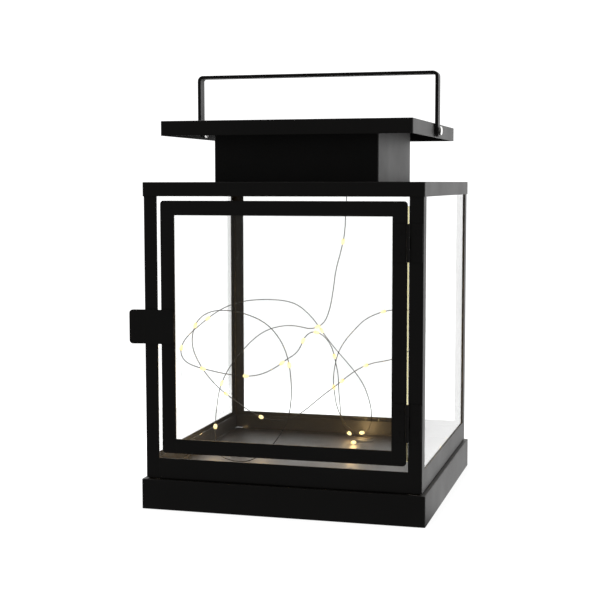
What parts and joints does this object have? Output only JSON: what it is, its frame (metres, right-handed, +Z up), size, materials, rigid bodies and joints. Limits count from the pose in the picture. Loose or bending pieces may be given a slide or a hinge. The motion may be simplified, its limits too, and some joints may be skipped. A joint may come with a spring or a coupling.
{
  "type": "solar lantern",
  "caption": "Square black metal and glass lantern with a stepped roof, hinged glass door, bail handle and solar-powered LED wire lights inside.",
  "frame": {"origin": "centre of the plinth's underside, on the surface the lantern stands on", "axes": "+Z up, -Y towards the door, +X towards the door's hinges"},
  "size_m": [0.2075, 0.2006, 0.3061],
  "materials": {
    "black_steel": "satin black powder coat with a fine grain",
    "clear_glass": "clear float glass, 2 mm",
    "bright_steel": "nickel-plated steel",
    "black_plastic": "fine-textured moulded plastic",
    "switch_white": "moulded plastic",
    "panel_cover": "clear cover sheet",
    "solar_cell": "dark blue silicon with silver lines",
    "circuit_green": "solder resist",
    "component_black": "moulded epoxy",
    "battery_sleeve": "shrink sleeve, plain",
    "silver_wire": "thin enamelled wire",
    "led_resin": "clear resin drop lit warm white from inside"
  },
  "bodies": {
    "lantern": {"plinth": "black_steel", "floor_plate": "black_steel", "post_front_left": "black_steel", "post_front_right": "black_steel", "post_back_left": "black_steel", "post_back_right": "black_steel", "rail_front": "black_steel", "rail_right": "black_steel", "rail_back": "black_steel", "rail_left": "black_steel", "lower_roof": "black_steel", "neck": "black_steel", "upper_roof": "black_steel", "glass_retainers_left": "black_steel", "glass_retainers_right": "black_steel", "glass_retainers_back": "black_steel", "hinge_leaves_post": "black_steel", "hinge_rivets_post": "black_steel", "hinge_pins": "black_steel", "glass_left": "clear_glass", "glass_right": "clear_glass", "glass_back": "clear_glass", "handle_screws": "bright_steel", "handle_nuts": "bright_steel", "battery_cover_screws": "bright_steel", "battery_contacts": "bright_steel", "module_housing": "black_plastic", "battery_cover": "black_plastic", "switch_case": "black_plastic", "wire_gland": "black_plastic", "solar_cover": "panel_cover", "solar_cells": "solar_cell", "solar_board": "circuit_green", "circuit_board": "circuit_green", "board_components": "component_black", "battery": "battery_sleeve", "led_wire": "silver_wire", "led_beads": "led_resin"},
    "door": {"door_stile_left": "black_steel", "door_stile_right": "black_steel", "door_rail_top": "black_steel", "door_rail_bottom": "black_steel", "door_glass": "clear_glass", "door_clips": "black_steel", "latch_tab": "black_steel", "hinge_leaves_door": "black_steel", "hinge_rivets_door": "black_steel"},
    "bail_handle": {"handle": "black_steel"},
    "switch": {"switch_knob": "switch_white"}
  },
  "joints": [
    {"name": "door_swing", "type": "hinge", "parent": "lantern", "child": "door", "pos_m": [0.0873, -0.0989, 0.1282], "axis": [0, 0, 1], "range_deg": [0, 170]},
    {"name": "handle_swing", "type": "hinge", "parent": "lantern", "child": "bail_handle", "pos_m": [0, 0, 0.2636], "axis": [1, 0, 0], "range_deg": [-73, 73]},
    {"name": "switch_slide", "type": "slide", "parent": "lantern", "child": "switch", "axis": [1, 0, 0], "range_m": [0, 0.003]}
  ]
}
